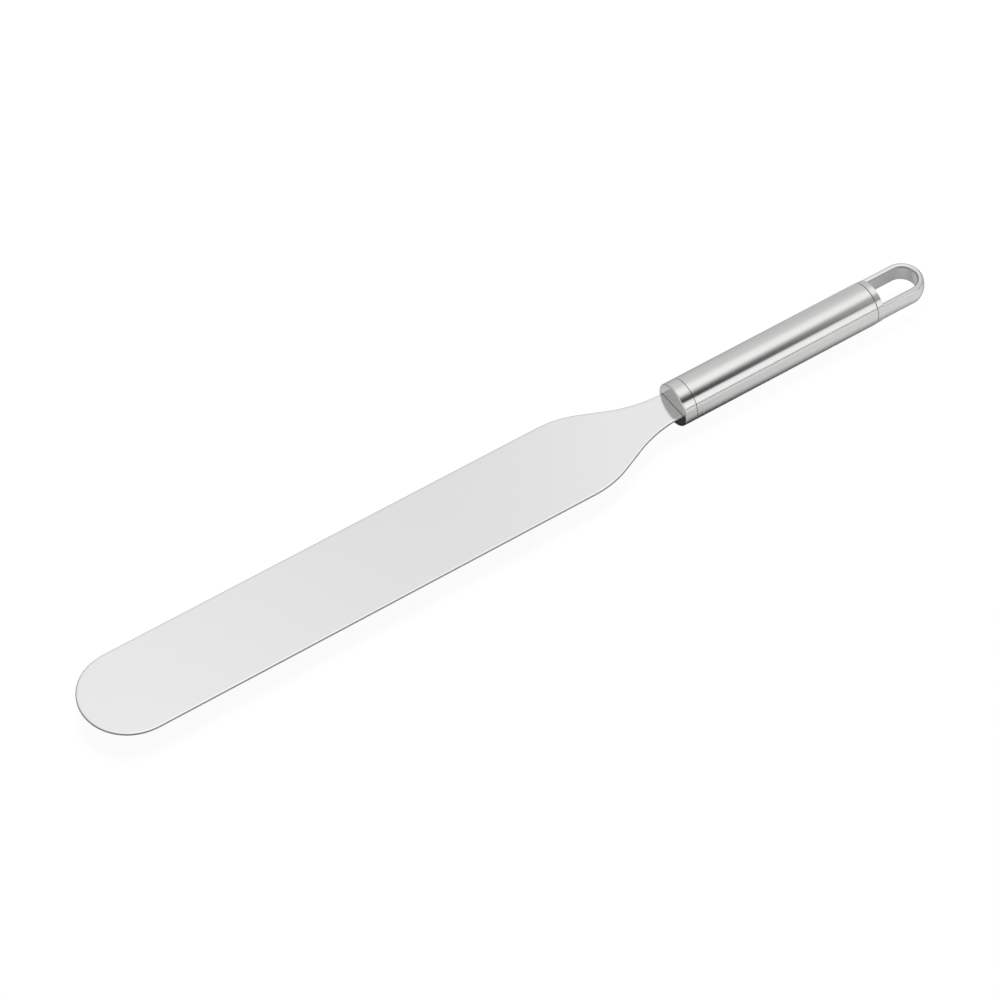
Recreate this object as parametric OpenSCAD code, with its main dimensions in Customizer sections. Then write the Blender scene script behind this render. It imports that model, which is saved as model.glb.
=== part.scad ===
// Straight spreading spatula: a round-tipped steel blade in a round tube handle
// with a slotted cap at the front and a milled hanging loop at the back.
//
// X runs along the tool from the tip towards the loop, Z stands on the blade's flat,
// and the origin is the centre of the tool's bounding box. Inside the modules, lengths
// along X are counted from the front face of the front cap, where the blade comes out.

/* [Blade] */
// Length of the blade from the front cap to its tip
blade_len = 292; // [180:1:340]
// Width of the blade
blade_w = 44; // [38:0.5:60]
// Thickness of the sheet that the blade is cut from
blade_t = 1.2; // [0.8:0.1:2]
// How far the tip reaches beyond a half circle across the blade
tip_reach = 1; // [0.25:0.25:5]
// Extra radius of the tip's cheeks, which run from the sides into the nose
cheek_extra_r = 3; // [1:0.5:12]
// Width of the neck where it enters the front cap
neck_w = 15.5; // [12:0.5:16.5]
// Slope of the shoulders against the blade's length, in degrees
shoulder_slope = 24; // [18:1:29]
// Radius of the outward curve between the sides and the shoulders
shoulder_r = 46; // [10:1:50]
// Radius of the inward curve between the shoulders and the neck
neck_r = 63; // [10:1:70]

/* [Tang] */
// Width of the tang inside the handle
tang_w = 11; // [8:0.5:11.5]
// Radius of the corners at the tang's end
tang_corner_r = 2; // [0.5:0.25:3]
// Length of tang beyond the axis of the last pin
tang_margin = 5; // [3.5:0.5:12]

/* [Handle] */
// Outside diameter of the handle tube
handle_d = 20; // [18.5:0.25:24]
// Length of the handle tube
tube_len = 96.5; // [80:0.5:130]
// Wall of the handle tube
tube_wall = 1.5; // [1:0.1:1.6]
// Chamfer on each edge where two handle pieces meet
seam_chamfer = 0.2; // [0.1:0.05:0.45]

/* [Front cap] */
// Length of the cap in front of the tube
cap_len = 6.2; // [5:0.1:12]
// Radius on the rim of the cap's front face
cap_rim_r = 0.7; // [0.2:0.1:1.5]
// Depth of the pocket that the end of the neck seats in
seat_depth = 3.5; // [2:0.25:4.5]
// Gap all round the blade in the cap's pocket and slot
slot_gap = 0.2; // [0.05:0.05:0.3]
// Length of spigot beyond the axis of the last pin
cap_spigot_margin = 7; // [3:0.5:14]

/* [Tang pins] */
// Diameter of the pins through the spigot and the tang
pin_d = 3; // [2:0.25:4]
// Distance from the cap's shoulder to the first pin
pin_inset = 7; // [4:0.5:12]
// Distance between the pins
pin_pitch = 12; // [8:0.5:20]
// Depth of the pins' ends below the spigot's surface
pin_sink = 0.6; // [0.4:0.1:1.5]
// Chamfer on the pins' ends
pin_chamfer = 0.4; // [0.1:0.1:0.8]

/* [Hanging loop] */
// How far the loop's bar lies below the tube's surface
loop_step = 0.1; // [0.05:0.05:0.5]
// Length of the round collar between the tube and the loop
collar_len = 3.2; // [2:0.1:8]
// Length of the loop's straight arms
arm_len = 17.1; // [12:0.1:40]
// Thickness of each arm from the slot to the bar's surface
arm_t = 3.4; // [2.8:0.05:4]
// Height of the loop between its two milled flats
loop_h = 8.4; // [6:0.2:10]
// Radius on the arms' outer edges
arm_edge_r = 0.6; // [0.2:0.1:0.8]
// Radius on the slot's edges, along the arms' inner faces
slot_edge_r = 1; // [0.3:0.1:1.2]
// Radius in the slot's corners at the collar
slot_corner_r = 1.2; // [0.5:0.1:2.5]
// Length of the loop's spigot inside the tube
loop_spigot_len = 14; // [8:0.5:25]

/* [Fits] */
// Gap between each spigot and the tube's bore
spigot_gap = 0.05; // [0.02:0.01:0.15]
// Gap between the pins and their holes
pin_gap = 0.02; // [0.01:0.01:0.1]
// Chamfer on the spigots' ends
lead_in = 0.8; // [0.3:0.1:1.2]

/* [Hidden] */

// Steps round a full circle
$fn = 96;
// Overrun that carries a cut clear through a face
over = 1;
// Straight steps round the far side of what rounds off a corner
fan_steps = 4;

// Blade: the distances from its axis to the sides and to the neck's edges
side_y = blade_w / 2;
neck_y = neck_w / 2;

// Tip: the cheek arcs leave the sides straight, and the nose arc touches both from inside
cheek_r = side_y + tip_reach + cheek_extra_r;
cheek_x = side_y + tip_reach - blade_len;
nose_r = side_y - tip_reach * tip_reach / (2 * cheek_extra_r);
nose_x = nose_r - blade_len;
nose_angle = atan2(cheek_r - side_y, nose_x - cheek_x);

// Shoulders: an outward curve, a straight ramp, and an inward curve that ends at the cap
neck_run = neck_r * sin(shoulder_slope);
neck_fall = neck_r * (1 - cos(shoulder_slope));
// Where the ramp's line crosses the side's, and where the side starts to curve
corner_x = -neck_run - (side_y - neck_y - neck_fall) / tan(shoulder_slope);
shoulder_x = corner_x - shoulder_r * tan(shoulder_slope / 2);

// Handle: radii, and where each piece ends along X
handle_r = handle_d / 2;
bore_r = handle_r - tube_wall;
spigot_r = bore_r - spigot_gap;
bar_r = handle_r - loop_step;
tube_end_x = cap_len + tube_len;
collar_end_x = tube_end_x + collar_len;
arm_end_x = collar_end_x + arm_len;
loop_end_x = arm_end_x + bar_r;

// Tang, its pins, and the slot that the sheet runs through
pin_x = [for (i = [0:1]) cap_len + pin_inset + i * pin_pitch];
pin_r = pin_d / 2;
pin_hole_r = pin_r + pin_gap;
pin_end_z = spigot_r - pin_sink;
tang_y = tang_w / 2;
tang_end_x = pin_x[1] + tang_margin;
cap_spigot_end_x = pin_x[1] + cap_spigot_margin;
slot_h = blade_t + 2 * slot_gap;

// Loop: the arms' inner faces, the milled flats, and the centre of the outer edge curve
arm_in_y = bar_r - arm_t;
flat_z = loop_h / 2;
edge_z = flat_z - arm_edge_r;
edge_y = sqrt(pow(bar_r - arm_edge_r, 2) - edge_z * edge_z);

// Middle of the tool's length, which the origin is moved to
mid_x = (loop_end_x - blade_len) / 2;

// Puts a piece from the lengths along the tool into the part's frame
module in_frame() {
    translate([-mid_x, 0, 0]) children();
}

// A solid turned about the X axis, from a profile of [radius, place along X]
module turned() {
    rotate([0, 90, 0]) rotate_extrude() children();
}

// A shape and its mirror image across the X axis
module both_sides() {
    children();
    mirror([0, 1, 0]) children();
}

// What rounds off a corner: the ground beyond an arc, between two angles
module beyond_arc(r, from, to) {
    turn = (to - from) / fan_steps;
    difference() {
        polygon([[0, 0], for (i = [0:fan_steps]) 2 * r * [cos(from + i * turn), sin(from + i * turn)]]);
        circle(r = r);
    }
}

// ---- Blade ----

// One edge of the sheet with sharp corners, from the tip to the tang's end
sharp_edge = [
    [-blade_len - over, side_y],
    [corner_x, side_y],
    [-neck_run, neck_y + neck_fall],
    [0, neck_y],
    [seat_depth, neck_y],
    [seat_depth, tang_y],
    [tang_end_x, tang_y],
];

// What the arcs take off that edge: cheek, shoulder, neck, and the tang's corner
module edge_arcs() {
    translate([cheek_x, side_y - cheek_r]) beyond_arc(cheek_r, 90, 180);
    translate([shoulder_x, side_y - shoulder_r]) beyond_arc(shoulder_r, 90 - shoulder_slope, 90);
    translate([0, neck_y + neck_r]) circle(r = neck_r);
    translate([tang_end_x - tang_corner_r, tang_y - tang_corner_r]) beyond_arc(tang_corner_r, 0, 90);
}

// Blade and tang, cut from one sheet
module blade() {
    last = len(sharp_edge) - 1;
    far_edge = [for (i = [last:-1:0]) [sharp_edge[i].x, -sharp_edge[i].y]];
    color("gainsboro") in_frame() linear_extrude(height = blade_t, center = true) difference() {
        polygon([each sharp_edge, each far_edge]);
        translate([nose_x, 0]) beyond_arc(nose_r, nose_angle, 360 - nose_angle);
        both_sides() edge_arcs();
        for (x = pin_x) translate([x, 0]) circle(r = pin_hole_r);
    }
}

// ---- Handle ----

// Profile of the front cap: a head with a round rim, and a spigot with a lead-in
module cap_profile() {
    difference() {
        polygon([
            [0, 0],
            [handle_r, 0],
            [handle_r, cap_len - seam_chamfer],
            [handle_r - seam_chamfer, cap_len],
            [spigot_r, cap_len],
            [spigot_r, cap_spigot_end_x - lead_in],
            [spigot_r - lead_in, cap_spigot_end_x],
            [0, cap_spigot_end_x],
        ]);
        translate([handle_r - cap_rim_r, cap_rim_r]) beyond_arc(cap_rim_r, -90, 0);
    }
}

// Flat cut for a sheet of the given width, between two places along X
module sheet_cut(from_x, to_x, sheet_w) {
    cut_w = sheet_w + 2 * slot_gap;
    translate([from_x, -cut_w / 2, -slot_h / 2]) cube([to_x - from_x, cut_w, slot_h]);
}

// Front cap: the neck seats in its pocket, and the tang runs through its slot
module front_cap() {
    color("silver") in_frame() difference() {
        turned() cap_profile();
        sheet_cut(-over, seat_depth, neck_w);
        sheet_cut(0, cap_spigot_end_x + over, tang_w);
        for (x = pin_x) translate([x, 0, 0]) cylinder(h = handle_d, r = pin_hole_r, center = true);
    }
}

// Handle tube, chamfered at both ends inside and outside
module handle_tube() {
    color("silver") in_frame() turned() polygon([
        [bore_r, cap_len + seam_chamfer],
        [bore_r + seam_chamfer, cap_len],
        [handle_r - seam_chamfer, cap_len],
        [handle_r, cap_len + seam_chamfer],
        [handle_r, tube_end_x - seam_chamfer],
        [handle_r - seam_chamfer, tube_end_x],
        [bore_r + seam_chamfer, tube_end_x],
        [bore_r, tube_end_x - seam_chamfer],
    ]);
}

// Pin through the cap's spigot and the tang, at its place along X
module tang_pin(x) {
    color("darkgray") in_frame() translate([x, 0, 0]) rotate_extrude() polygon([
        [0, -pin_end_z],
        [pin_r - pin_chamfer, -pin_end_z],
        [pin_r, pin_chamfer - pin_end_z],
        [pin_r, pin_end_z - pin_chamfer],
        [pin_r - pin_chamfer, pin_end_z],
        [0, pin_end_z],
    ]);
}

module tang_pin_front() {
    tang_pin(pin_x[0]);
}

module tang_pin_rear() {
    tang_pin(pin_x[1]);
}

// ---- Hanging loop ----

// Profile of the round collar and the spigot that plugs the tube
module collar_profile() {
    spigot_start_x = tube_end_x - loop_spigot_len;
    polygon([
        [0, spigot_start_x],
        [spigot_r - lead_in, spigot_start_x],
        [spigot_r, spigot_start_x + lead_in],
        [spigot_r, tube_end_x],
        [bar_r - seam_chamfer, tube_end_x],
        [bar_r, tube_end_x + seam_chamfer],
        [bar_r, collar_end_x],
        [0, collar_end_x],
    ]);
}

// Section of one arm: the round bar outside the slot, between the milled flats, edges rounded
module arm_section() {
    difference() {
        intersection() {
            circle(r = bar_r);
            translate([arm_in_y, -flat_z]) square([arm_t, loop_h]);
        }
        both_sides() {
            translate([arm_in_y + slot_edge_r, flat_z - slot_edge_r]) beyond_arc(slot_edge_r, 90, 180);
            translate([edge_y, edge_z]) beyond_arc(arm_edge_r, atan2(edge_z, edge_y), 90);
        }
    }
}

// The arm's section carried along both straight sides and round the end
module bent_bar() {
    both_sides() translate([collar_end_x, 0, 0]) rotate([90, 0, 90])
        linear_extrude(height = arm_len) arm_section();
    translate([arm_end_x, 0, 0]) rotate([0, 0, -90]) rotate_extrude(angle = 180) arm_section();
}

// Web that rounds a corner of the slot between the collar and an arm
module slot_corner() {
    translate([collar_end_x, arm_in_y - slot_corner_r, -flat_z]) linear_extrude(height = loop_h)
        difference() {
            square([slot_corner_r, slot_corner_r + slot_edge_r]);
            translate([slot_corner_r, 0]) circle(r = slot_corner_r);
        }
}

// Spigot, collar and hanging loop, machined from one bar
module hanging_loop() {
    color("silver") in_frame() {
        turned() collar_profile();
        bent_bar();
        both_sides() slot_corner();
    }
}

blade();
front_cap();
handle_tube();
hanging_loop();
tang_pin_front();
tang_pin_rear();
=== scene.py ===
"""Straight spreading spatula: its visual pieces, their finishes, and the studio round them.

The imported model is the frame. X runs from the blade's tip to the hanging loop, Z stands on the
blade's flat, the handle's axis is Z = 0, and every length is in metres.
"""
import logging
import math
from dataclasses import dataclass
from enum import Enum
from typing import Any, Callable, Iterable, Sequence

import bmesh
import bpy
from mathutils import Matrix, Vector


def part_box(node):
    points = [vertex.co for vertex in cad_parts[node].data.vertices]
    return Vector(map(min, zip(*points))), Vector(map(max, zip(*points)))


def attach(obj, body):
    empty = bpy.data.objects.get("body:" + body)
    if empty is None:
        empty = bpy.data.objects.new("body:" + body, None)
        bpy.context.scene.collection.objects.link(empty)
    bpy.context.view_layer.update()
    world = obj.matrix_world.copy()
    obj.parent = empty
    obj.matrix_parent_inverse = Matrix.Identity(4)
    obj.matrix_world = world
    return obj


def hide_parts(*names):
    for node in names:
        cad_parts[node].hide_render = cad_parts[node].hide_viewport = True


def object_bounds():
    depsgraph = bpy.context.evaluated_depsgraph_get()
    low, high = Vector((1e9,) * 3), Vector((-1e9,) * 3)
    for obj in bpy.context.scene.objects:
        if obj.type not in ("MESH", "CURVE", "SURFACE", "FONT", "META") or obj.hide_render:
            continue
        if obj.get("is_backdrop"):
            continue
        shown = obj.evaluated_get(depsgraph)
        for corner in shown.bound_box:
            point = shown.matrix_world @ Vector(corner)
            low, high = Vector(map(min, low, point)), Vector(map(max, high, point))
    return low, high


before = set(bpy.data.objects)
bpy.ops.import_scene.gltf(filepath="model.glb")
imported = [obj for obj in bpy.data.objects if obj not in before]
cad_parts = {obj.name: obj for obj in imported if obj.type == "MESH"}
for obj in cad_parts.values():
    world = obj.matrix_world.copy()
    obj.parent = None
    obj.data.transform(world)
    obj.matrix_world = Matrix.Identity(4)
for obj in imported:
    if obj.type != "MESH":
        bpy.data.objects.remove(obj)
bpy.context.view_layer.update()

LOG = logging.getLogger("spatula")
BODY = "root"
PINS = ("tang_pin_front", "tang_pin_rear")
MM = 0.001
QUARTER = math.radians(90)
WELD = 1e-7
FLAT_WEIGHT = 100
WHITE = (1.0, 1.0, 1.0, 1.0)

Point = tuple[float, float]
Triple = tuple[float, float, float]
Face = bpy.types.MeshPolygon
Material = bpy.types.Material
Object = bpy.types.Object
Socket = bpy.types.NodeSocket


# ---------------------------------------------------------------------------------------------
# Node graphs
# ---------------------------------------------------------------------------------------------


class Graph:
    """A node tree, with short calls to add a node and to wire it."""

    def __init__(self, tree: bpy.types.NodeTree) -> None:
        """Takes over a tree and empties it.

        Args:
            tree: the shader, world or geometry tree to write in.
        """
        self.tree = tree
        tree.nodes.clear()

    def add(self, kind: str, ins: dict[Any, Any] | None = None, **settings: Any) -> bpy.types.Node:
        """Adds a node, sets its properties, and wires or fills its inputs.

        Args:
            kind: the node's type name.
            ins: for each input, by name or number, a socket to wire or a value to set.
            **settings: the node's own properties.

        Returns:
            The new node.
        """
        node = self.tree.nodes.new(kind)
        for key, value in settings.items():
            setattr(node, key, value)
        for key, value in (ins or {}).items():
            if isinstance(value, Socket):
                self.tree.links.new(value, node.inputs[key])
            else:
                node.inputs[key].default_value = value
        return node

    def out(self, kind: str, ins: dict[Any, Any] | None = None, **settings: Any) -> Socket:
        """Adds a node in the same way, and returns its first output."""
        return self.add(kind, ins, **settings).outputs[0]

    def math(self, operation: str, *terms: Any) -> Socket:
        """Adds a Math node and returns its result; a term is a socket or a number."""
        return self.out("ShaderNodeMath", dict(enumerate(terms)), operation=operation)

    def split(self, vector: Socket) -> tuple[Socket, Socket, Socket]:
        """Splits a vector into its X, Y and Z."""
        return tuple(self.add("ShaderNodeSeparateXYZ", {0: vector}).outputs)

    def place(self) -> Socket:
        """The shaded point in the object's own frame."""
        return self.add("ShaderNodeTexCoord").outputs["Object"]


@dataclass(frozen=True)
class Fade:
    """A level that changes evenly from one place to another, and holds on either side."""

    start: float
    end: float
    before: float = 0.0
    after: float = 1.0

    def level(self, g: Graph, place: Socket, **settings: Any) -> Socket:
        """Adds the node that gives the level at a place.

        Args:
            g: the tree to write in.
            place: the place to read the level at.
            **settings: the Map Range node's own properties.

        Returns:
            The level.
        """
        ins = {
            "Value": place,
            "From Min": self.start,
            "From Max": self.end,
            "To Min": self.before,
            "To Max": self.after,
        }
        return g.out("ShaderNodeMapRange", ins, **settings)


class GeometryTree(Graph):
    """A Geometry Nodes tree with named size inputs, run once on an object of its own."""

    def __init__(self, name: str) -> None:
        """Makes the empty tree.

        Args:
            name: the tree's name.
        """
        super().__init__(bpy.data.node_groups.new(name, "GeometryNodeTree"))
        self.tree.interface.new_socket("Piece", in_out="OUTPUT", socket_type="NodeSocketGeometry")
        self.entry = self.add("NodeGroupInput")
        self.values: dict[str, Any] = {}

    def size(self, name: str, value: Any, kind: str = "NodeSocketFloat") -> Socket:
        """Adds a named input, and keeps the value that it is given on the object.

        Args:
            name: the input's name.
            value: its value on this object.
            kind: the socket's type.

        Returns:
            The socket inside the tree.
        """
        item = self.tree.interface.new_socket(name, in_out="INPUT", socket_type=kind)
        self.values[item.identifier] = value
        return self.entry.outputs[name]

    def run(self, name: str, shape: Socket, finish: Material) -> Object:
        """Ends the tree, evaluates it, and returns its result as a plain mesh object.

        Args:
            name: the name of the new object.
            shape: the geometry socket that ends the tree.
            finish: the material that the tree sets.

        Returns:
            An object with a plain mesh and no modifier.
        """
        steel = self.size("Finish", finish, "NodeSocketMaterial")
        real = self.out("GeometryNodeRealizeInstances", {0: shape})
        dressed = self.out("GeometryNodeSetMaterial", {"Geometry": real, "Material": steel})
        self.add("NodeGroupOutput", {0: dressed})
        holder = new_object(name, bpy.data.meshes.new(name))
        modifier = holder.modifiers.new(name, "NODES")
        modifier.node_group = self.tree
        for identifier, value in self.values.items():
            modifier[identifier] = value
        return applied(holder)


# ---------------------------------------------------------------------------------------------
# Mesh helpers
# ---------------------------------------------------------------------------------------------


def new_object(name: str, data: Any) -> Object:
    """Links a new object at the origin to the scene.

    Args:
        name: the object's name.
        data: its mesh, light or camera.

    Returns:
        The new object.
    """
    thing = bpy.data.objects.new(name, data)
    bpy.context.scene.collection.objects.link(thing)
    return thing


def applied(thing: Object) -> Object:
    """Turns an object's modifiers into its plain mesh.

    Args:
        thing: the object, with its modifiers live.

    Returns:
        The same object, with the evaluated mesh and no modifiers.
    """
    graph = bpy.context.evaluated_depsgraph_get()
    graph.update()
    mesh = bpy.data.meshes.new_from_object(
        thing.evaluated_get(graph), preserve_all_data_layers=True, depsgraph=graph
    )
    thing.modifiers.clear()
    thing.data = mesh
    mesh.name = thing.name
    return thing


def from_faces(
    name: str, points: Iterable[Sequence[float]], faces: Iterable[Sequence[int]]
) -> Object:
    """Makes an object from points and faces, with its faces turned outwards.

    Args:
        name: the object's name.
        points: the vertices.
        faces: the vertex numbers of each face.

    Returns:
        The new object.
    """
    mesh = bpy.data.meshes.new(name)
    mesh.from_pydata([tuple(p) for p in points], [], [tuple(f) for f in faces])
    shell = bmesh.new()
    shell.from_mesh(mesh)
    bmesh.ops.remove_doubles(shell, verts=shell.verts, dist=WELD)
    bmesh.ops.recalc_face_normals(shell, faces=shell.faces)
    shell.to_mesh(mesh)
    shell.free()
    return new_object(name, mesh)


def turned(name: str, profile: Sequence[Point], steps: int = 192) -> Object:
    """Turns a closed profile about the X axis, as on a lathe.

    Args:
        name: the object's name.
        profile: the profile's corners as (place along X, radius); a radius of 0 is a pole.
        steps: the number of steps round the axis.

    Returns:
        The turned solid.
    """
    points: list[Vector] = []
    rings: list[list[int]] = []
    for x, radius in profile:
        start = len(points)
        if radius == 0:
            points.append(Vector((x, 0, 0)))
            rings.append([start] * steps)
            continue
        for i in range(steps):
            angle = math.tau * i / steps
            points.append(Vector((x, -radius * math.cos(angle), radius * math.sin(angle))))
        rings.append(list(range(start, start + steps)))
    faces = []
    for here, there in zip(rings, rings[1:] + rings[:1]):
        for i in range(steps):
            j = (i + 1) % steps
            corners = list(dict.fromkeys((here[i], here[j], there[j], there[i])))
            if len(corners) > 2:
                faces.append(corners)
    return from_faces(name, points, faces)


def rounded(
    corner: Point, before: float, after: float, radius: float, steps: int
) -> list[Point]:
    """Rounds a right-angled corner of a profile.

    Args:
        corner: the sharp corner.
        before: the heading of the edge that runs into it, in degrees.
        after: the heading of the edge that leaves it, in degrees.
        radius: the radius of the rounding.
        steps: the number of straight steps.

    Returns:
        The points of the quarter circle, in order.
    """
    start, end = math.radians(before), math.radians(after)
    sweep = QUARTER if (after - before) % 360 < 180 else -QUARTER
    centre = (
        corner[0] + radius * (math.cos(end) - math.cos(start)),
        corner[1] + radius * (math.sin(end) - math.sin(start)),
    )
    turn = [start - sweep + sweep * i / steps for i in range(steps + 1)]
    return [(centre[0] + radius * math.cos(a), centre[1] + radius * math.sin(a)) for a in turn]


def block(name: str, low: Sequence[float], high: Sequence[float]) -> Object:
    """Makes a box-shaped tool for a cut.

    Args:
        name: the tool's name.
        low: its corner at the least X, Y and Z.
        high: its corner at the greatest X, Y and Z.

    Returns:
        The tool.
    """
    (x0, y0, z0), (x1, y1, z1) = low, high
    corners = [(x, y, z) for x in (x0, x1) for y in (y0, y1) for z in (z0, z1)]
    sides = [(0, 1, 3, 2), (4, 6, 7, 5), (0, 4, 5, 1), (2, 3, 7, 6), (0, 2, 6, 4), (1, 5, 7, 3)]
    return from_faces(name, corners, sides)


def drill(name: str, x: float, radius: float, half_height: float, steps: int = 64) -> Object:
    """Makes an upright round tool for a cut, centred on the X axis.

    Args:
        name: the tool's name.
        x: its place along X.
        radius: its radius.
        half_height: how far it reaches above and below the axis.
        steps: the number of steps round it.

    Returns:
        The tool.
    """
    low, high = -half_height, half_height
    tool = turned(name, [(low, 0), (low, radius), (high, radius), (high, 0)], steps)
    tool.data.transform(Matrix.Translation((x, 0, 0)) @ Matrix.Rotation(QUARTER, 4, "Y"))
    return tool


def combine(thing: Object, operation: str, tools: Sequence[Object]) -> Object:
    """Cuts tools out of an object, or joins them to it, and removes the tools.

    Args:
        thing: the object to work on.
        operation: DIFFERENCE or UNION.
        tools: the closed meshes to cut or join.

    Returns:
        The object with its new plain mesh.
    """
    for tool in tools:
        cut = thing.modifiers.new(tool.name, "BOOLEAN")
        cut.operation, cut.solver, cut.object = operation, "EXACT", tool
    applied(thing)
    for tool in tools:
        bpy.data.objects.remove(tool)
    return thing


def smoothed(thing: Object, crease: float = 40.0) -> Object:
    """Shades an object smooth up to a crease angle, with its flats kept flat.

    Args:
        thing: the object to shade.
        crease: the angle past which an edge stays sharp, in degrees.

    Returns:
        The same object.
    """
    thing.data.shade_smooth()
    thing.data.set_sharp_from_angle(angle=math.radians(crease))
    weighted = thing.modifiers.new("flats", "WEIGHTED_NORMAL")
    weighted.keep_sharp = True
    weighted.weight = FLAT_WEIGHT
    return applied(thing)


def middle_x(node: str) -> float:
    """The middle of a CAD node along X."""
    return sum(corner.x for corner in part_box(node)) / 2


# ---------------------------------------------------------------------------------------------
# Finishes
# ---------------------------------------------------------------------------------------------


class Grain(Enum):
    """Which way a finish's marks run; the value tells whether they reach along X, Y and Z."""

    ROUND = (False, True, True)
    LENGTHWISE = (True, False, False)
    EVEN = (False, False, False)

    def stretch(self, width: float, reach: float) -> Triple:
        """Pattern scale on each axis, for marks of a width across and a reach along.

        Args:
            width: the width of a mark.
            reach: the length of a mark.

        Returns:
            The scale on X, Y and Z, per metre.
        """
        return tuple(1 / (reach if along else width) for along in self.value)


@dataclass(frozen=True)
class Steel:
    """A steel surface: its colour, its gloss, and the fine marks that its last step leaves."""

    name: str
    colour: Triple
    roughness: float
    grain: Grain
    anisotropy: float = 0.0
    mark_width: float = 0.25 * MM
    mark_reach: float = 40 * MM
    roughness_swing: float = 0.04
    tone_swing: float = 0.03
    bump: float = 0.02
    # Painted shade: a tone that falls across Y, darker towards -Y, so one side of a piece reads
    # shaded.
    painted_side_shade: Fade | None = None
    fine_detail: float = 3.0
    broad_detail: float = 1.0
    broad_width: float = 9.0
    broad_reach: float = 2.0
    broad_share: float = 0.4
    noise_roughness: float = 0.6

    def material(self) -> Material:
        """Builds the procedural material, with fine marks over a broader, softer pattern.

        Returns:
            The new material.
        """
        material = bpy.data.materials.new(self.name)
        material.use_nodes = True
        g = Graph(material.node_tree)
        place = g.place()
        marks = self._marks(g, place, 1.0, 1.0, self.fine_detail)
        broad = self._marks(g, place, self.broad_width, self.broad_reach, self.broad_detail)
        fine_part = g.math("MULTIPLY", marks, 1 - self.broad_share)
        both = g.math("MULTIPLY_ADD", broad, self.broad_share, fine_part)
        light = Vector(self.colour) * (1 + self.tone_swing)
        dark = Vector(self.colour) * (1 - self.tone_swing)
        tones = {"Factor": both, 6: (*dark, 1.0), 7: (*light, 1.0)}
        tone = g.add("ShaderNodeMix", tones, data_type="RGBA").outputs[2]
        # Painted shade across Y, for a finish that has it.
        if self.painted_side_shade:
            painted_shade_level = self.painted_side_shade.level(g, g.split(place)[1])
            tone = g.out("ShaderNodeVectorMath", {0: tone, "Scale": painted_shade_level}, operation="SCALE")
        low, high = self.roughness - self.roughness_swing, self.roughness + self.roughness_swing
        steel = g.add(
            "ShaderNodeBsdfPrincipled",
            {
                "Base Color": tone,
                "Metallic": 1.0,
                "Roughness": Fade(0.0, 1.0, low, high).level(g, both),
                "Anisotropic": self.anisotropy,
                "Normal": g.out(
                    "ShaderNodeBump",
                    {"Strength": self.bump, "Distance": self.mark_width, "Height": marks},
                ),
            },
        )
        if self.anisotropy:
            along = g.out("ShaderNodeCombineXYZ", {"X": 1.0})
            g.tree.links.new(along, steel.inputs["Tangent"])
        g.add("ShaderNodeOutputMaterial", {"Surface": steel.outputs[0]})
        return material

    def _marks(self, g: Graph, place: Socket, wide: float, long: float, detail: float) -> Socket:
        """Adds noise that is drawn out along the grain.

        Args:
            g: the material's tree.
            place: the shaded point.
            wide: the marks' width, as a multiple of this finish's.
            long: the marks' length, as a multiple of this finish's.
            detail: how many finer layers the noise has.

        Returns:
            The noise, from 0 to 1.
        """
        stretch = self.grain.stretch(self.mark_width * wide, self.mark_reach * long)
        scaled = g.out("ShaderNodeMapping", {"Vector": place, "Scale": stretch})
        ins = {"Vector": scaled, "Scale": 1.0, "Detail": detail, "Roughness": self.noise_roughness}
        return g.out("ShaderNodeTexNoise", ins)


class Finish(Enum):
    """The finishes of this tool's pieces."""

    BLADE = Steel(
        "blade_satin", (0.9, 0.9, 0.895), 0.13, Grain.LENGTHWISE,
        mark_width=0.12 * MM, mark_reach=60 * MM,
        roughness_swing=0.03, tone_swing=0.01, bump=0.01,
    )
    HANDLE = Steel(
        "handle_brushed", (0.8, 0.8, 0.79), 0.22, Grain.ROUND, anisotropy=0.8,
        mark_width=0.16 * MM, mark_reach=2 * MM,
        roughness_swing=0.07, tone_swing=0.06, bump=0.05,
    )
    # Painted shade: a dark grey on cut edges and seam chamfers that draws them as dark lines,
    # standing in for shade and dark reflections.
    EDGE = Steel(
        "edge_painted_shade", (0.44, 0.44, 0.435), 0.3, Grain.EVEN,
        mark_width=0.15 * MM, roughness_swing=0.05, tone_swing=0.05,
    )
    # Milled flats; their tone also carries painted shade, darker towards the near arm at -Y.
    FLAT = Steel(
        "flat_milled_painted_shade", (0.93, 0.93, 0.92), 0.2, Grain.LENGTHWISE,
        mark_width=0.15 * MM, mark_reach=8 * MM,
        roughness_swing=0.03, tone_swing=0.015, bump=0.015,
        painted_side_shade=Fade(-7 * MM, 5 * MM, 0.76),
    )
    SLOT = Steel(
        "slot_milled", (0.9, 0.9, 0.885), 0.32, Grain.EVEN,
        mark_width=0.2 * MM, roughness_swing=0.03, bump=0.01,
    )
    FACE = Steel(
        "face_turned", (0.88, 0.88, 0.86), 0.2, Grain.EVEN,
        mark_width=0.3 * MM, roughness_swing=0.03, tone_swing=0.02, bump=0.01,
    )
    PIN = Steel(
        "pin_ground", (0.62, 0.62, 0.61), 0.34, Grain.EVEN,
        mark_width=0.2 * MM, roughness_swing=0.06, tone_swing=0.05,
    )

    def material(self) -> Material:
        """The finish's material, made the first time it is asked for."""
        found = bpy.data.materials.get(self.value.name)
        return found or self.value.material()


def paint(piece: Object, choose: Callable[[Face], Finish]) -> None:
    """Gives each face of a piece its finish.

    Args:
        piece: the object to paint.
        choose: returns the finish of a face.
    """
    mesh = piece.data
    mesh.materials.clear()
    places: dict[Finish, int] = {}
    for face in mesh.polygons:
        finish = choose(face)
        if finish not in places:
            places[finish] = len(places)
            mesh.materials.append(finish.material())
        face.material_index = places[finish]


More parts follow.
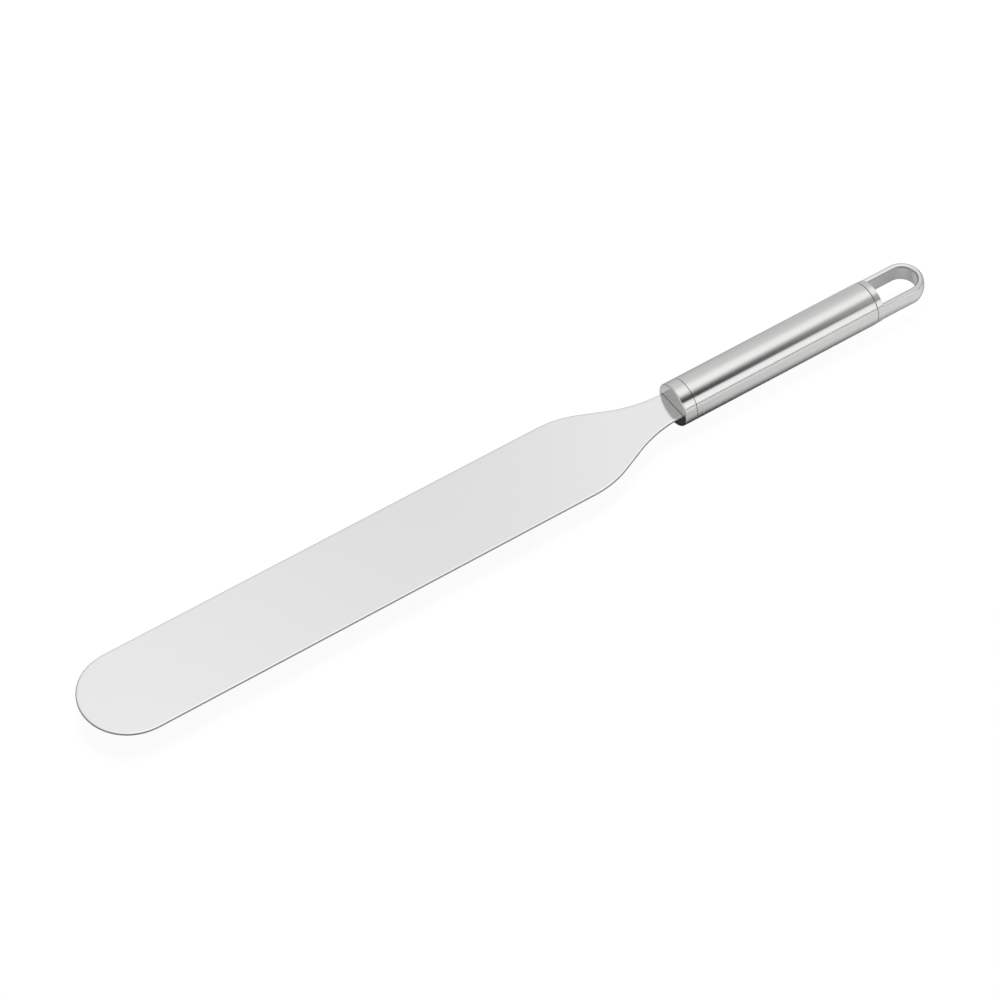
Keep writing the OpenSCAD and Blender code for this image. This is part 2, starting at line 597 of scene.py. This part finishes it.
def settle(piece: Object, slot: str, *nodes: str) -> Object:
    """Hangs a finished piece on the tool's body, in the place of its CAD nodes.

    Args:
        piece: the finished object, at the origin.
        slot: not used.
        *nodes: the CAD nodes that it stands for.

    Returns:
        The same piece.
    """
    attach(piece, BODY)
    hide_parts(*nodes)
    LOG.info("%s: %d faces, for %s", piece.name, len(piece.data.polygons), ", ".join(nodes))
    return piece


# ---------------------------------------------------------------------------------------------
# Blade
# ---------------------------------------------------------------------------------------------


@dataclass
class Blade:
    """The round-tipped blade with its shoulders, neck and tang, cut from one sheet."""

    tip_reach: float = 1 * MM
    cheek_extra_r: float = 3 * MM
    neck_w: float = 15.5 * MM
    shoulder_slope: float = 24.0
    shoulder_r: float = 46 * MM
    neck_r: float = 63 * MM
    seat_depth: float = 3.5 * MM
    tang_w: float = 11 * MM
    tang_corner_r: float = 2 * MM
    pin_hole_r: float = 1.52 * MM
    eased_r: float = 0.4 * MM
    fall_w: float = 0.7 * MM
    fall_h: float = 0.08 * MM
    # Faces leaning further from flat than this get the painted edge shade.
    edge_from: float = 0.95
    nose_steps: int = 56
    cheek_steps: int = 14
    shoulder_steps: int = 20
    neck_steps: int = 28
    corner_steps: int = 8
    eased_steps: int = 6
    mitre_limit: float = 0.3

    def __post_init__(self) -> None:
        """Takes the sheet's length, width, thickness and place from the frame."""
        low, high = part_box("blade")
        self.tip_x, self.tang_end_x = low.x, high.x
        self.side_y, self.half_t = high.y, high.z
        self.front_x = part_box("front_cap")[0].x

    def edge(self) -> list[Point]:
        """Draws one edge of the sheet, from the tip's middle to the tang's end.

        Returns:
            The points along the edge, with Y from 0 up.
        """
        neck_y, tang_y = self.neck_w / 2, self.tang_w / 2
        cheek_r = self.side_y + self.tip_reach + self.cheek_extra_r
        cheek_x = self.tip_x + self.side_y + self.tip_reach
        nose_r = self.side_y - self.tip_reach**2 / (2 * self.cheek_extra_r)
        nose_x = self.tip_x + nose_r
        meet = math.degrees(math.atan2(cheek_r - self.side_y, nose_x - cheek_x))
        slope = math.radians(self.shoulder_slope)
        run, fall = self.neck_r * math.sin(slope), self.neck_r * (1 - math.cos(slope))
        ramp_x = self.front_x - run - (self.side_y - neck_y - fall) / math.tan(slope)
        shoulder_x = ramp_x - self.shoulder_r * math.tan(slope / 2)
        shoulder_y = self.side_y - self.shoulder_r
        seat_x = self.front_x + self.seat_depth
        end_x, end_y = self.tang_end_x - self.tang_corner_r, tang_y - self.tang_corner_r
        arcs = (
            (nose_x, 0, nose_r, 180, meet, self.nose_steps),
            (cheek_x, self.side_y - cheek_r, cheek_r, meet, 90, self.cheek_steps),
            (shoulder_x, shoulder_y, self.shoulder_r, 90, 90 - self.shoulder_slope,
             self.shoulder_steps),
            (self.front_x, neck_y + self.neck_r, self.neck_r, -90 - self.shoulder_slope, -90,
             self.neck_steps),
            (end_x, end_y, self.tang_corner_r, 90, 0, self.corner_steps),
        )
        nose, cheek, shoulder, neck, corner = (self._arc(*arc) for arc in arcs)
        return [*nose, *cheek[1:], *shoulder, *neck, (seat_x, neck_y), (seat_x, tang_y), *corner]

    @staticmethod
    def _arc(
        x: float, y: float, radius: float, start: float, end: float, steps: int
    ) -> list[Point]:
        """Points on an arc about (x, y), from one angle to another in degrees."""
        turn = [math.radians(start + (end - start) * i / steps) for i in range(steps + 1)]
        return [(x + radius * math.cos(a), y + radius * math.sin(a)) for a in turn]

    def _inset(self, outline: list[Point], depth: float) -> list[Point]:
        """Moves an outline inwards, corner by corner.

        Args:
            outline: the outline's points, in order.
            depth: how far each side moves.

        Returns:
            The moved points, in the same order.
        """
        corners = [Vector(point) for point in outline]
        moved = []
        for before, here, after in zip(corners[-1:] + corners, corners, corners[1:] + corners[:1]):
            into, out = (here - before).normalized(), (after - here).normalized()
            across = Vector((-into.y - out.y, into.x + out.x)).normalized()
            lean = max(self.mitre_limit, across.dot((-into.y, into.x)))
            moved.append(tuple(here - across * depth / lean))
        return moved

    def build(self) -> Object:
        """Builds the sheet, with faces that fall a little to eased edges, and drills its holes.

        Returns:
            The blade's object.
        """
        side = self.edge()
        outline = side + [(x, -y) for x, y in reversed(side[1:])]
        top = self.half_t - self.fall_h
        quarter = [QUARTER * i / self.eased_steps for i in range(self.eased_steps + 1)]
        rise = [
            (self.eased_r * (1 - math.cos(a)), top - self.eased_r * (1 - math.sin(a)))
            for a in quarter
        ]
        rise.append((self.eased_r + self.fall_w, self.half_t))
        levels = [(inset, -z) for inset, z in reversed(rise)] + rise
        points: list[Triple] = []
        for inset, z in levels:
            points += [(x, y, z) for x, y in self._inset(outline, inset)]
        n = len(outline)
        faces = [list(range(n)), list(range(len(points) - n, len(points)))]
        for low in range(0, len(points) - n, n):
            for i in range(n):
                j = (i + 1) % n
                faces.append([low + i, low + j, low + n + j, low + n + i])
        sheet = from_faces("blade_sheet", points, faces)
        places = [middle_x(node) for node in PINS]
        depth = 4 * self.half_t
        holes = [drill(f"hole_{i}", x, self.pin_hole_r, depth) for i, x in enumerate(places)]
        return combine(sheet, "DIFFERENCE", holes)

    def _finish(self, face: Face) -> Finish:
        """Painted shade on a steep face, which draws the edge as a dark line, and the satin on the
        rest.
        """
        return Finish.EDGE if abs(face.normal.z) < self.edge_from else Finish.BLADE

    def dress(self, sheet: Object) -> Object:
        """Gives the blade its finishes and its place in the frame."""
        paint(sheet, self._finish)
        return settle(smoothed(sheet), "blade_steel", "blade")


# ---------------------------------------------------------------------------------------------
# Handle
# ---------------------------------------------------------------------------------------------


@dataclass
class FrontCap:
    """The turned cap that closes the handle's front and holds the tang in its slot."""

    rim_r: float = 0.7 * MM
    rim_steps: int = 8
    seam: float = 0.2 * MM
    relief: float = 0.12 * MM
    spigot_r: float = 8.45 * MM
    lead_in: float = 0.8 * MM
    seat_depth: float = 3.5 * MM
    seat_w: float = 15.9 * MM
    slot_w: float = 11.4 * MM
    slot_h: float = 1.76 * MM
    pin_hole_r: float = 1.52 * MM
    over: float = 1 * MM
    face_from: float = 0.8

    def build(self) -> Object:
        """Turns the cap, then cuts its pocket, its slot and its pin holes.

        Returns:
            The cap's object.
        """
        low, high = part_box("front_cap")
        front, end, radius = low.x, high.x, high.z
        seam_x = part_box("handle_tube")[0].x - self.relief
        profile = [
            (front, 0),
            *rounded((front, radius), 90, 0, self.rim_r, self.rim_steps),
            (seam_x - self.seam, radius),
            (seam_x, radius - self.seam),
            (seam_x, self.spigot_r),
            (end - self.lead_in, self.spigot_r),
            (end, self.spigot_r - self.lead_in),
            (end, 0),
        ]
        cuts = (
            ("pocket", front - self.over, front + self.seat_depth, self.seat_w / 2),
            ("slot", front + self.over, end + self.over, self.slot_w / 2),
        )
        half_h = self.slot_h / 2
        tools = [block(name, (x0, -y, -half_h), (x1, y, half_h)) for name, x0, x1, y in cuts]
        tools += [drill(f"hole_{node}", middle_x(node), self.pin_hole_r, radius) for node in PINS]
        return combine(turned("cap_body", profile), "DIFFERENCE", tools)

    def _finish(self, face: Face) -> Finish:
        """The finer turned finish on the front face, and the brushed one on the side."""
        return Finish.FACE if abs(face.normal.x) > self.face_from else Finish.HANDLE

    def dress(self, cap: Object) -> Object:
        """Gives the cap its finishes and its place in the frame."""
        paint(cap, self._finish)
        return settle(smoothed(cap), "handle_steel", "front_cap")


@dataclass
class HandleTube:
    """The round tube that the hand holds, with its ends broken at the two seams."""

    wall: float = 1.5 * MM
    seam: float = 0.2 * MM
    seam_steps: int = 3
    round_steps: int = 192

    def build(self) -> Object:
        """Sweeps the wall's section round the axis with Geometry Nodes.

        Returns:
            The tube's object.
        """
        low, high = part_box("handle_tube")
        g = GeometryTree("handle_tube_sweep")
        length = g.size("Length", high.x - low.x)
        radius = g.size("Outside Radius", high.z)
        wall = g.size("Wall", self.wall)
        seam = g.size("End Chamfer", self.seam)
        seam_steps = g.size("Chamfer Steps", self.seam_steps, "NodeSocketInt")
        steps = g.size("Steps Round", self.round_steps, "NodeSocketInt")
        start = g.size("Front End", low.x)

        middle = g.math("MULTIPLY_ADD", wall, -0.5, radius)
        ring = g.out("GeometryNodeCurvePrimitiveCircle", {"Resolution": steps, "Radius": middle})
        upright = g.out("GeometryNodeSetCurveNormal", {"Curve": ring}, mode="Z_UP")
        wall_ins = {"Width": wall, "Height": length}
        section = g.out("GeometryNodeCurvePrimitiveQuadrilateral", wall_ins)
        seam_ins = {"Curve": section, "Radius": seam, "Count": seam_steps}
        broken = g.out("GeometryNodeFilletCurve", seam_ins, mode="POLY")
        swept = g.out("GeometryNodeCurveToMesh", {"Curve": upright, "Profile Curve": broken})
        centre = g.out("ShaderNodeCombineXYZ", {"X": g.math("MULTIPLY_ADD", length, 0.5, start)})
        laid_ins = {"Geometry": swept, "Translation": centre, "Rotation": (0.0, QUARTER, 0.0)}
        laid = g.out("GeometryNodeTransform", laid_ins)
        return g.run("tube_body", laid, Finish.HANDLE.material())

    def dress(self, tube: Object) -> Object:
        """Gives the tube its place in the frame; its tree has set the finish."""
        return settle(smoothed(tube), "handle_steel", "handle_tube")


@dataclass
class HangingLoop:
    """The collar and the milled loop behind it, machined from one bar with the rear spigot."""

    collar_len: float = 3.2 * MM
    collar_edge_r: float = 0.12 * MM
    collar_edge_steps: int = 3
    seam: float = 0.2 * MM
    relief: float = 0.2 * MM
    spigot_r: float = 8.45 * MM
    lead_in: float = 0.8 * MM
    arm_t: float = 3.4 * MM
    half_h: float = 4.2 * MM
    edge_r: float = 0.7 * MM
    slot_edge_r: float = 1.0 * MM
    edge_steps: int = 8
    corner_r: float = 1.2 * MM
    corner_steps: int = 12
    web_drop: float = 0.09 * MM
    web_sink: float = 0.4 * MM
    skin: float = 0.01 * MM
    root: float = 1.5 * MM
    path_points: int = 220
    section_gap: float = 0.15 * MM
    # Bands of steepness, as (low, high), where the edge's rounding gets painted shade as a dark
    # line: on the slot's far side, on its near side, and on the outside.
    slot_edge: Point = (0.35, 0.85)
    near_slot_edge: Point = (0.35, 0.99)
    far_edge: Point = (0.89, 0.995)
    far_edge_from: float = -4.0 * MM
    flat_from: float = 0.97
    seam_from: float = 0.3
    collar_margin: float = 0.05 * MM

    def __post_init__(self) -> None:
        """Takes the loop's places and its bar's radius from the frame."""
        low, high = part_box("hanging_loop")
        self.spigot_x, self.end_x, self.bar_r = low.x, high.x, high.y
        self.seam_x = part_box("handle_tube")[1].x
        self.collar_x = self.seam_x + self.collar_len
        self.arm_in = self.bar_r - self.arm_t

    def _path(self, g: GeometryTree, bar_r: Socket, thick: Socket) -> Socket:
        """Draws the path along one arm, round the end and back along the other.

        Args:
            g: the loop's tree.
            bar_r: the radius of the bar that the loop is cut from.
            thick: the arm's thickness.

        Returns:
            The path, as a curve that keeps the section upright.
        """
        reach = g.size("Straight Length", self.end_x - self.bar_r - self.collar_x + self.root)
        start = g.size("Start", self.collar_x - self.root)
        count = g.size("Path Points", self.path_points, "NodeSocketInt")
        bend_r = g.math("MULTIPLY_ADD", thick, -0.5, bar_r)
        bend = g.math("MULTIPLY", bend_r, math.pi)
        total = g.math("MULTIPLY_ADD", reach, 2.0, bend)
        line_end = g.out("ShaderNodeCombineXYZ", {"X": total})
        line = g.out("GeometryNodeCurvePrimitiveLine", {"End": line_end})
        points = g.out("GeometryNodeResampleCurve", {"Curve": line, "Count": count}, mode="COUNT")
        run = g.split(g.out("GeometryNodeInputPosition"))[0]
        past = g.math("SUBTRACT", run, reach)
        round_end = g.math("MINIMUM", g.math("MAXIMUM", past, 0.0), bend)
        turn = g.math("DIVIDE", round_end, bend_r)
        back = g.math("MAXIMUM", g.math("SUBTRACT", past, bend), 0.0)
        out = g.math("SUBTRACT", g.math("MINIMUM", run, reach), back)
        x = g.math("ADD", g.math("MULTIPLY_ADD", g.math("SINE", turn), bend_r, out), start)
        y = g.math("MULTIPLY", g.math("COSINE", turn), g.math("MULTIPLY", bend_r, -1.0))
        place = g.out("ShaderNodeCombineXYZ", {"X": x, "Y": y})
        bent = g.out("GeometryNodeSetPosition", {"Geometry": points, "Position": place})
        return g.out("GeometryNodeSetCurveNormal", {"Curve": bent}, mode="Z_UP")

    def _section(self, g: GeometryTree, bar_r: Socket, thick: Socket) -> Socket:
        """Draws the arm's section: two flats, a crowned outside, and rounded edges.

        Args:
            g: the loop's tree.
            bar_r: the radius of the bar, which the outside follows.
            thick: the arm's thickness.

        Returns:
            The section, as a closed curve.
        """
        height = g.size("Height", 2 * self.half_h)
        edge = g.size("Outer Edge Radius", self.edge_r)
        slot_edge = g.size("Slot Edge Radius", self.slot_edge_r)
        steps = g.size("Edge Steps", self.edge_steps, "NodeSocketInt")
        gap = g.size("Section Spacing", self.section_gap)
        flat_ins = {"Width": thick, "Height": height}
        flat = g.out("GeometryNodeCurvePrimitiveQuadrilateral", flat_ins)
        outer = g.math("GREATER_THAN", g.split(g.out("GeometryNodeInputPosition"))[0], 0.0)
        radius = g.math("MULTIPLY_ADD", outer, g.math("SUBTRACT", edge, slot_edge), slot_edge)
        edge_ins = {"Curve": flat, "Radius": radius, "Count": steps}
        eased = g.out("GeometryNodeFilletCurve", edge_ins, mode="POLY")
        fine = g.out("GeometryNodeResampleCurve", {"Curve": eased, "Length": gap}, mode="LENGTH")
        across, up, _ = g.split(g.out("GeometryNodeInputPosition"))
        square = g.math("SUBTRACT", g.math("MULTIPLY", bar_r, bar_r), g.math("MULTIPLY", up, up))
        crown = g.math("SUBTRACT", g.math("SQRT", square), bar_r)
        share = g.math("ADD", g.math("DIVIDE", across, thick), 0.5)
        shift = g.out("ShaderNodeCombineXYZ", {"X": g.math("MULTIPLY", crown, share)})
        return g.out("GeometryNodeSetPosition", {"Geometry": fine, "Offset": shift})

    def _bar(self) -> Object:
        """Carries the arm's section along both sides and round the end, with Geometry Nodes.

        Returns:
            The bent bar, with its two ends inside the collar.
        """
        g = GeometryTree("hanging_loop_sweep")
        bar_r = g.size("Bar Radius", self.bar_r - self.skin)
        thick = g.size("Arm Thickness", self.arm_t - self.skin)
        path, section = self._path(g, bar_r, thick), self._section(g, bar_r, thick)
        ins = {"Curve": path, "Profile Curve": section, "Fill Caps": True}
        swept = g.out("GeometryNodeCurveToMesh", ins)
        return g.run("loop_bar", swept, Finish.HANDLE.material())

    def _web(self, side: int) -> Object:
        """Makes the rounding in the slot's corner between the collar and one arm.

        Args:
            side: 1 for the arm at +Y, and -1 for the other.

        Returns:
            The web, sunk a little into the collar and the arm.
        """
        r, sink = self.corner_r, self.web_sink
        x, y = self.collar_x, side * self.arm_in
        turn = [QUARTER * i / self.corner_steps for i in range(self.corner_steps + 1)]
        rim = [(x + r - r * math.cos(a), y - side * (r - r * math.sin(a))) for a in turn]
        out_y = y + side * sink
        outline = [(x - sink, y - side * r), *rim, (x + r, out_y), (x - sink, out_y)]
        n = len(outline)
        height = self.half_h - self.web_drop
        points = [(px, py, z) for z in (-height, height) for px, py in outline]
        faces = [list(range(n)), list(range(n, 2 * n))]
        faces += [[i, (i + 1) % n, n + (i + 1) % n, n + i] for i in range(n)]
        return from_faces(f"web_{side}", points, faces)

    def build(self) -> Object:
        """Turns the collar and spigot, and joins the bent bar and the corner webs to them.

        Returns:
            The loop's object.
        """
        seam_x, rim = self.seam_x + self.relief, (self.collar_x, self.bar_r)
        profile = [
            (self.spigot_x, 0),
            (self.spigot_x, self.spigot_r - self.lead_in),
            (self.spigot_x + self.lead_in, self.spigot_r),
            (seam_x, self.spigot_r),
            (seam_x, self.bar_r - self.seam),
            (seam_x + self.seam, self.bar_r),
            *rounded(rim, 0, -90, self.collar_edge_r, self.collar_edge_steps),
            (self.collar_x, 0),
        ]
        collar = turned("loop_body", profile)
        return combine(collar, "UNION", [self._bar(), self._web(1), self._web(-1)])

    def _finish(self, face: Face) -> Finish:
        """Picks a face's finish: milled flats with painted shade, the slot, painted shade in the
        seam and as dark lines along edges, and brushed round the bar.

        Args:
            face: a face of the loop.

        Returns:
            Its finish.
        """
        x, y, _ = face.center
        if x < self.collar_x + self.collar_margin:
            # Painted shade on the seam's chamfer, standing in for the groove's shadow.
            in_seam = face.normal.x < -self.seam_from and x > self.seam_x
            return Finish.EDGE if in_seam else Finish.HANDLE
        steep = abs(face.normal.z)
        past_arms = max(0.0, x - self.end_x + self.bar_r)
        inner = face.normal.x * past_arms + face.normal.y * y < 0
        low, high = self.far_edge
        if inner:
            low, high = self.near_slot_edge if y < 0 else self.slot_edge
        if steep > max(self.flat_from, high):
            return Finish.FLAT
        if inner and steep <= low:
            return Finish.SLOT
        # Painted shade: this band of the rounding is drawn as a dark edge line.
        cut = low < steep < high and (inner or y > self.far_edge_from)
        return Finish.EDGE if cut else Finish.HANDLE

    def dress(self, loop: Object) -> Object:
        """Gives the loop its finishes and its place in the frame."""
        paint(loop, self._finish)
        return settle(smoothed(loop), "handle_steel", "hanging_loop")


@dataclass
class TangPins:
    """The two pins through the cap's spigot and the tang; their CAD nodes are kept as they are."""

    nodes: tuple[str, ...] = PINS

    def dress(self) -> None:
        """Puts the ground finish on each pin's CAD node."""
        for name in self.nodes:
            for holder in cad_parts[name].material_slots:
                holder.material = Finish.PIN.material()
            LOG.info("%s: CAD node kept, with its own finish", name)


# ---------------------------------------------------------------------------------------------
# Studio
# ---------------------------------------------------------------------------------------------


@dataclass
class Surroundings:
    """Bands of soft light round the tool: an arch over its axis, with a gain from end to end."""

    arch: tuple[Point, ...] = (
        (-180, 0.6), (-4, 0.71), (-2, 1.2), (0.9, 1.2), (2.0, 0.0), (5.6, 0.0), (6.6, 1.12),
        (27, 1.12), (38.2, 0.9), (41.8, 0.03), (53.5, 0.03), (88, 1.09), (99, 1.09), (136, 0.71),
        (150, 0.68), (168, 0.6), (180, 0.6),
    )
    sides: tuple[Point, ...] = (
        (-1.0, 0.88), (-0.56, 0.92), (-0.44, 0.5), (-0.38, 0.37), (-0.32, 0.42), (0.0, 0.85),
        (0.264, 1.145), (0.31, 1.065), (0.343, 0.975), (0.365, 1.012), (0.38, 1.03), (0.392, 1.4),
        (0.401, 1.04), (0.47, 1.04), (0.62, 0.6), (1.0, 0.5),
    )
    on_paper: float = 0.2

    def build(self) -> None:
        """Makes the world: the bands of light, and plain white to the camera."""
        world = bpy.data.worlds.new("studio")
        world.use_nodes = True
        bpy.context.scene.world = world
        g = Graph(world.node_tree)
        along, across, up = g.split(g.add("ShaderNodeTexCoord").outputs["Generated"])
        angle = g.math("ARCTAN2", up, g.math("MULTIPLY", across, -1.0))
        arch = self._band(g, Fade(-math.pi, math.pi).level(g, angle), self.arch, 180)
        gain = self._band(g, Fade(-1.0, 1.0).level(g, along), self.sides, 1)
        path = g.add("ShaderNodeLightPath").outputs
        paper = g.math("MULTIPLY_ADD", path["Is Diffuse Ray"], self.on_paper - 1, 1.0)
        level = g.math("MULTIPLY", g.math("MULTIPLY", arch, gain), paper)
        soft = g.out("ShaderNodeBackground", {"Color": WHITE, "Strength": level})
        white = g.out("ShaderNodeBackground", {"Color": WHITE, "Strength": 1.0})
        both = g.out("ShaderNodeMixShader", {0: path["Is Camera Ray"], 1: soft, 2: white})
        g.add("ShaderNodeOutputWorld", {"Surface": both})
        world.cycles.sampling_method = "NONE"

    @staticmethod
    def _band(g: Graph, place: Socket, stops: Sequence[Point], span: float) -> Socket:
        """Adds a ramp from stops of (value, level).

        Args:
            g: the world's tree.
            place: where to read the ramp, from 0 to 1.
            stops: the stops, in order.
            span: the ramp runs from this value's negative to this value.

        Returns:
            The level at the place.
        """
        node = g.add("ShaderNodeValToRGB", {"Fac": place})
        ramp = node.color_ramp
        ramp.interpolation = "EASE"
        while len(ramp.elements) > 1:
            ramp.elements.remove(ramp.elements[-1])
        for i, (value, level) in enumerate(stops):
            position = (value + span) / (2 * span)
            stop = ramp.elements.new(position) if i else ramp.elements[0]
            stop.position = position
            stop.color = (level, level, level, 1)
        return node.outputs[0]


@dataclass
class Lamp:
    """A large soft lamp over the far side, which lights the floor and casts the tool's shadow."""

    place: Triple = (0.5, 0.68, 1.52)
    size: float = 1.2
    power: float = 23.5

    def build(self) -> None:
        """Makes the lamp, aimed at the tool, and keeps it out of reflections."""
        data = bpy.data.lights.new("soft_lamp", "AREA")
        data.shape, data.size, data.energy = "SQUARE", self.size, self.power
        lamp = new_object("soft_lamp", data)
        lamp.location = self.place
        lamp.rotation_mode = "QUATERNION"
        lamp.rotation_quaternion = (-Vector(self.place)).to_track_quat("-Z", "Y")
        lamp.visible_glossy = lamp.visible_camera = False


@dataclass
class Veil:
    """A faint glow in the dark gap over the near side, stronger towards the back."""

    angle: float = 53.5
    spread: float = 21.0
    reach: float = 0.28
    ends: Point = (0.2, 0.8)
    rise: Fade = Fade(0.262, 0.35, 0.0, 0.72)

    def build(self) -> None:
        """Makes the glowing strip, which only reflections show."""
        turn, half = math.radians(self.angle), math.radians(self.spread)
        out = Vector((0, -math.cos(turn), math.sin(turn)))
        along = Vector((0, math.sin(turn), math.cos(turn))) * self.reach * math.tan(half)
        corners = [
            Vector((x, 0, 0)) + out * self.reach + along * side
            for x, side in zip(self.ends + self.ends[::-1], (-1, -1, 1, 1))
        ]
        veil = from_faces("veil", corners, [(0, 1, 2, 3)])
        material = bpy.data.materials.new("veil")
        material.use_nodes = True
        g = Graph(material.node_tree)
        x, y, z = g.split(g.place())
        angle = g.math("ARCTAN2", z, g.math("MULTIPLY", y, -1.0))
        off = g.math("ABSOLUTE", g.math("SUBTRACT", angle, turn))
        soft = Fade(0.0, half, 1.0, 0.0).level(g, off, interpolation_type="SMOOTHSTEP")
        strength = g.math("MULTIPLY", self.rise.level(g, x), soft)
        glow = g.out("ShaderNodeEmission", {"Color": WHITE, "Strength": strength})
        clear = g.out("ShaderNodeBsdfTransparent")
        both = g.out("ShaderNodeAddShader", {0: glow, 1: clear})
        g.add("ShaderNodeOutputMaterial", {"Surface": both})
        material.cycles.emission_sampling = "NONE"
        veil.data.materials.append(material)
        veil.visible_camera = veil.visible_diffuse = veil.visible_shadow = False
        veil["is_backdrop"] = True


@dataclass
class Floor:
    """The white floor under the handle, which takes the lamp's shadow; to reflections it also
    shows painted shade near the tool and a painted glow away from it.
    """

    half: float = 3.0
    colour: Triple = (0.88, 0.88, 0.88)
    camera_white: float = 0.88
    glow: float = 1.08
    shade_power: float = 0.5
    # Painted glow seen only in reflections: more plain white on the floor far to the near side and
    # towards the back.
    painted_far_glow: Fade = Fade(60 * MM, 130 * MM, 0.0, 0.6)
    painted_back_glow: Fade = Fade(100 * MM, 200 * MM, 0.0, 0.25)
    # Painted shadow seen only in reflections: the paper's colour darkens under the tool, beyond it
    # and before the handle; under the loop this painted shade is kept lighter.
    painted_shadow_under_tool: Fade = Fade(8 * MM, 12.5 * MM, 0.35, 1.0)
    painted_shade_beyond_tool: Fade = Fade(14 * MM, 30 * MM, 1.0, 0.68)
    painted_shade_before_handle: Fade = Fade(88 * MM, 104 * MM, 0.87, 1.0)
    painted_shade_lift_under_loop: Fade = Fade(107 * MM, 113 * MM, 0.0, 0.52)

    def build(self) -> None:
        """Makes the floor, level with the object's lowest point."""
        z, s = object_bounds()[0].z, self.half
        corners = [(-s, -s, z), (s, -s, z), (s, s, z), (-s, s, z)]
        floor = from_faces("floor", corners, [(0, 1, 2, 3)])
        if floor.data.polygons[0].normal.z < 0:
            floor.data.flip_normals()
        floor.data.materials.append(self._material())
        floor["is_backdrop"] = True

    def _material(self) -> Material:
        """Builds the floor's material: paper that takes the lamp's shadow, with painted shade that
        only reflections see, mixed with plain white.

        Returns:
            The new material.
        """
        material = bpy.data.materials.new("floor")
        material.use_nodes = True
        g = Graph(material.node_tree)
        path = g.add("ShaderNodeLightPath").outputs
        mirrored = g.math("MAXIMUM", path["Is Glossy Ray"], path["Is Transmission Ray"])
        x, y, _ = g.split(g.place())
        # Painted shadow: the paper's colour for reflections, darker near the tool.
        under = self.painted_shadow_under_tool.level(g, g.math("ABSOLUTE", y))
        painted_shade = g.math("MULTIPLY", under, self.painted_shade_beyond_tool.level(g, y))
        painted_shade = g.math("MULTIPLY", painted_shade, self.painted_shade_before_handle.level(g, x))
        painted_shade = g.math("MAXIMUM", painted_shade, self.painted_shade_lift_under_loop.level(g, x))
        # Painted glow: reflections see more plain white away from the tool, and less where the
        # painted shadow falls.
        near = g.math("MULTIPLY", y, -1.0)
        away = g.math("MAXIMUM", self.painted_far_glow.level(g, near), self.painted_back_glow.level(g, x))
        soft_painted_shade = g.math("MULTIPLY", mirrored, g.math("POWER", painted_shade, self.shade_power))
        seen = g.math("MULTIPLY", path["Is Camera Ray"], self.camera_white)
        share = g.math("MULTIPLY_ADD", soft_painted_shade, away, seen)
        # Only reflections see the painted shade in the paper's colour.
        tone = g.out("ShaderNodeMix", {"Factor": mirrored, 2: 1.0, 3: painted_shade}, data_type="FLOAT")
        tone_ins = {0: self.colour, "Scale": tone}
        colour = g.out("ShaderNodeVectorMath", tone_ins, operation="SCALE")
        paper = g.out("ShaderNodeBsdfDiffuse", {"Color": colour})
        white = g.out("ShaderNodeEmission", {"Color": WHITE, "Strength": self.glow})
        both = g.out("ShaderNodeMixShader", {0: share, 1: paper, 2: white})
        g.add("ShaderNodeOutputMaterial", {"Surface": both})
        material.cycles.emission_sampling = "NONE"
        return material


@dataclass
class Camera:
    """The camera, level and without shift, aimed at a point near the tool's middle."""

    target: Triple = (-10.50 * MM, -1.745 * MM, 0.152 * MM)
    azimuth: float = -34.305
    elevation: float = 50.673
    distance: float = 1.8704
    lens: float = 160.93
    sensor: float = 36.0
    clip: Point = (0.1, 20.0)

    def build(self) -> None:
        """Makes the camera and hands it to the scene."""
        az, el = math.radians(self.azimuth), math.radians(self.elevation)
        level = math.cos(el)
        back = Vector((math.sin(az) * level, -math.cos(az) * level, math.sin(el)))
        data = bpy.data.cameras.new("camera")
        data.lens, data.sensor_width = self.lens, self.sensor
        data.clip_start, data.clip_end = self.clip
        camera = new_object("camera", data)
        camera.location = Vector(self.target) + back * self.distance
        camera.rotation_mode = "QUATERNION"
        camera.rotation_quaternion = (-back).to_track_quat("-Z", "Y")
        bpy.context.scene.camera = camera


def main() -> None:
    """Builds and dresses each sub-assembly in order, then the studio."""
    logging.basicConfig(level=logging.INFO, format="%(name)s: %(message)s")
    for part in (Blade(), FrontCap(), HandleTube(), HangingLoop()):
        part.dress(part.build())
    TangPins().dress()
    for setting in (Surroundings(), Lamp(), Veil(), Floor(), Camera()):
        setting.build()
    bpy.context.scene.view_settings.view_transform = "Standard"


if __name__ == "__main__":
    main()
